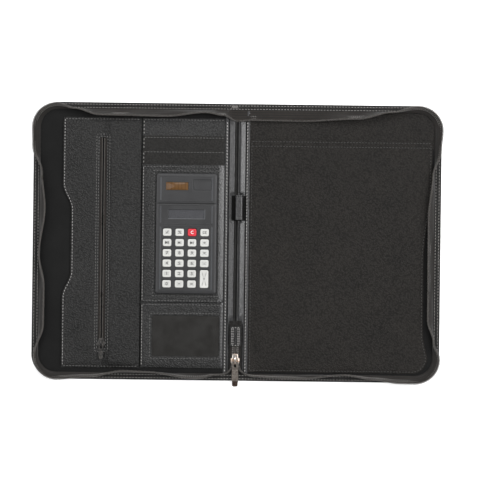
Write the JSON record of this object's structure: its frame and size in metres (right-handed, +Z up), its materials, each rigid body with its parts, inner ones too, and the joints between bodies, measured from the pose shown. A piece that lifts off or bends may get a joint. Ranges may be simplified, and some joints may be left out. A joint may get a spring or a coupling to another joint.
{
  "type": "portfolio case",
  "caption": "Zipped A4 portfolio case lying open: two board-stiffened covers on a spine, pad pocket, organiser column with calculator and card window, zip pocket and pen loop.",
  "frame": {"origin": "middle of the spine on the surface that the open case lies on", "axes": "+X towards the pad side (back cover), +Y along the spine towards the end away from the zip slider, +Z up"},
  "size_m": [0.5112, 0.354, 0.0134],
  "materials": {
    "outer_skin": "grained faux leather, satin",
    "inner_leather": "grained faux leather, half gloss",
    "lining_cloth": "woven lining, matt",
    "pad_cloth": "woven lining, matt, slightly brown",
    "foam": "thin foam sheet",
    "board": "grey board",
    "zip_tape": "woven tape with nylon coil",
    "slider_metal": "worn plated metal",
    "pull_metal": "dark plated metal",
    "pocket_slider_metal": "black lacquered metal",
    "clear_film": "clear soft film",
    "calculator_plastic": "fine satin moulding",
    "key_plastic": "satin moulding",
    "red_key_plastic": "satin moulding",
    "display_glass": "clear window",
    "display_cell": "grey display",
    "solar_glass": "brown solar cell",
    "circuit": "green laminate",
    "membrane": "soft rubber sheet"
  },
  "bodies": {
    "back_cover": {"back_cover_skin": "outer_skin", "back_foam": "foam", "back_board": "board", "back_lining": "pad_cloth", "pad_pocket": "pad_cloth", "back_zip_stringer": "zip_tape"},
    "spine": {"spine_skin": "outer_skin", "spine_board": "board", "spine_lining": "inner_leather", "spine_zip_stringers": "zip_tape", "zip_end_tab": "inner_leather", "pen_loop": "inner_leather"},
    "front_cover": {"front_cover_skin": "outer_skin", "front_foam": "foam", "front_board": "board", "front_lining": "lining_cloth", "front_zip_stringer": "zip_tape", "document_pocket": "lining_cloth", "zip_pocket_bag": "lining_cloth", "pocket_zip_stringers": "zip_tape", "organiser_base": "inner_leather", "card_slot_upper": "inner_leather", "card_slot_lower": "inner_leather", "calculator_panel": "inner_leather", "window_panel": "inner_leather", "window_film": "clear_film", "calculator_front_case": "calculator_plastic", "calculator_back_case": "calculator_plastic", "display_lens": "display_glass", "lcd_panel": "display_cell", "solar_cell": "solar_glass", "circuit_board": "circuit", "key_membrane": "membrane"},
    "main_slider": {"main_slider": "slider_metal"},
    "main_pull": {"main_pull": "pull_metal"},
    "pocket_slider": {"pocket_slider": "pocket_slider_metal"},
    "pocket_pull": {"pocket_pull": "pocket_slider_metal"},
    "key_root": {"key_root": "key_plastic"},
    "key_percent": {"key_percent": "key_plastic"},
    "key_clear": {"key_clear": "red_key_plastic"},
    "key_clear_entry": {"key_clear_entry": "key_plastic"},
    "key_memory_recall": {"key_memory_recall": "key_plastic"},
    "key_memory_minus": {"key_memory_minus": "key_plastic"},
    "key_memory_plus": {"key_memory_plus": "key_plastic"},
    "key_divide": {"key_divide": "key_plastic"},
    "key_7": {"key_7": "key_plastic"},
    "key_8": {"key_8": "key_plastic"},
    "key_9": {"key_9": "key_plastic"},
    "key_multiply": {"key_multiply": "key_plastic"},
    "key_4": {"key_4": "key_plastic"},
    "key_5": {"key_5": "key_plastic"},
    "key_6": {"key_6": "key_plastic"},
    "key_minus": {"key_minus": "key_plastic"},
    "key_1": {"key_1": "key_plastic"},
    "key_2": {"key_2": "key_plastic"},
    "key_3": {"key_3": "key_plastic"},
    "key_plus": {"key_plus": "key_plastic"},
    "key_0": {"key_0": "key_plastic"},
    "key_point": {"key_point": "key_plastic"},
    "key_equals": {"key_equals": "key_plastic"}
  },
  "joints": [
    {"name": "spine_hinge", "type": "hinge", "parent": "back_cover", "child": "spine", "pos_m": [0.013, 0, 0.0004], "axis": [0, 1, 0], "range_deg": [0, 90]},
    {"name": "front_hinge", "type": "hinge", "parent": "spine", "child": "front_cover", "pos_m": [-0.013, 0, 0.0004], "axis": [0, 1, 0], "range_deg": [0, 90]},
    {"name": "main_zip_slide", "type": "slide", "parent": "spine", "child": "main_slider", "axis": [0, 1, 0], "range_m": [0, 0.005]},
    {"name": "main_pull_swing", "type": "hinge", "parent": "main_slider", "child": "main_pull", "pos_m": [0, -0.14952, 0.0083], "axis": [-1, 0, 0], "range_deg": [0, 165]},
    {"name": "pocket_zip_slide", "type": "slide", "parent": "front_cover", "child": "pocket_slider", "axis": [0, 1, 0], "range_m": [0, 0.245]},
    {"name": "pocket_pull_swing", "type": "hinge", "parent": "pocket_slider", "child": "pocket_pull", "pos_m": [-0.1678, -0.12938, 0.0086], "axis": [-1, 0, 0], "range_deg": [0, 165]},
    {"name": "key_root_press", "type": "slide", "parent": "front_cover", "child": "key_root", "axis": [0, 0, -1], "range_m": [0, 0.0008], "stiffness_N_per_m": 600, "springref_m": -0.0003},
    {"name": "key_percent_press", "type": "slide", "parent": "front_cover", "child": "key_percent", "axis": [0, 0, -1], "range_m": [0, 0.0008], "stiffness_N_per_m": 600, "springref_m": -0.0003},
    {"name": "key_clear_press", "type": "slide", "parent": "front_cover", "child": "key_clear", "axis": [0, 0, -1], "range_m": [0, 0.0008], "stiffness_N_per_m": 600, "springref_m": -0.0003},
    {"name": "key_clear_entry_press", "type": "slide", "parent": "front_cover", "child": "key_clear_entry", "axis": [0, 0, -1], "range_m": [0, 0.0008], "stiffness_N_per_m": 600, "springref_m": -0.0003},
    {"name": "key_memory_recall_press", "type": "slide", "parent": "front_cover", "child": "key_memory_recall", "axis": [0, 0, -1], "range_m": [0, 0.0008], "stiffness_N_per_m": 600, "springref_m": -0.0003},
    {"name": "key_memory_minus_press", "type": "slide", "parent": "front_cover", "child": "key_memory_minus", "axis": [0, 0, -1], "range_m": [0, 0.0008], "stiffness_N_per_m": 600, "springref_m": -0.0003},
    {"name": "key_memory_plus_press", "type": "slide", "parent": "front_cover", "child": "key_memory_plus", "axis": [0, 0, -1], "range_m": [0, 0.0008], "stiffness_N_per_m": 600, "springref_m": -0.0003},
    {"name": "key_divide_press", "type": "slide", "parent": "front_cover", "child": "key_divide", "axis": [0, 0, -1], "range_m": [0, 0.0008], "stiffness_N_per_m": 600, "springref_m": -0.0003},
    {"name": "key_7_press", "type": "slide", "parent": "front_cover", "child": "key_7", "axis": [0, 0, -1], "range_m": [0, 0.0008], "stiffness_N_per_m": 600, "springref_m": -0.0003},
    {"name": "key_8_press", "type": "slide", "parent": "front_cover", "child": "key_8", "axis": [0, 0, -1], "range_m": [0, 0.0008], "stiffness_N_per_m": 600, "springref_m": -0.0003},
    {"name": "key_9_press", "type": "slide", "parent": "front_cover", "child": "key_9", "axis": [0, 0, -1], "range_m": [0, 0.0008], "stiffness_N_per_m": 600, "springref_m": -0.0003},
    {"name": "key_multiply_press", "type": "slide", "parent": "front_cover", "child": "key_multiply", "axis": [0, 0, -1], "range_m": [0, 0.0008], "stiffness_N_per_m": 600, "springref_m": -0.0003},
    {"name": "key_4_press", "type": "slide", "parent": "front_cover", "child": "key_4", "axis": [0, 0, -1], "range_m": [0, 0.0008], "stiffness_N_per_m": 600, "springref_m": -0.0003},
    {"name": "key_5_press", "type": "slide", "parent": "front_cover", "child": "key_5", "axis": [0, 0, -1], "range_m": [0, 0.0008], "stiffness_N_per_m": 600, "springref_m": -0.0003},
    {"name": "key_6_press", "type": "slide", "parent": "front_cover", "child": "key_6", "axis": [0, 0, -1], "range_m": [0, 0.0008], "stiffness_N_per_m": 600, "springref_m": -0.0003},
    {"name": "key_minus_press", "type": "slide", "parent": "front_cover", "child": "key_minus", "axis": [0, 0, -1], "range_m": [0, 0.0008], "stiffness_N_per_m": 600, "springref_m": -0.0003},
    {"name": "key_1_press", "type": "slide", "parent": "front_cover", "child": "key_1", "axis": [0, 0, -1], "range_m": [0, 0.0008], "stiffness_N_per_m": 600, "springref_m": -0.0003},
    {"name": "key_2_press", "type": "slide", "parent": "front_cover", "child": "key_2", "axis": [0, 0, -1], "range_m": [0, 0.0008], "stiffness_N_per_m": 600, "springref_m": -0.0003},
    {"name": "key_3_press", "type": "slide", "parent": "front_cover", "child": "key_3", "axis": [0, 0, -1], "range_m": [0, 0.0008], "stiffness_N_per_m": 600, "springref_m": -0.0003},
    {"name": "key_plus_press", "type": "slide", "parent": "front_cover", "child": "key_plus", "axis": [0, 0, -1], "range_m": [0, 0.0008], "stiffness_N_per_m": 600, "springref_m": -0.0003},
    {"name": "key_0_press", "type": "slide", "parent": "front_cover", "child": "key_0", "axis": [0, 0, -1], "range_m": [0, 0.0008], "stiffness_N_per_m": 600, "springref_m": -0.0003},
    {"name": "key_point_press", "type": "slide", "parent": "front_cover", "child": "key_point", "axis": [0, 0, -1], "range_m": [0, 0.0008], "stiffness_N_per_m": 600, "springref_m": -0.0003},
    {"name": "key_equals_press", "type": "slide", "parent": "front_cover", "child": "key_equals", "axis": [0, 0, -1], "range_m": [0, 0.0008], "stiffness_N_per_m": 600, "springref_m": -0.0003}
  ]
}
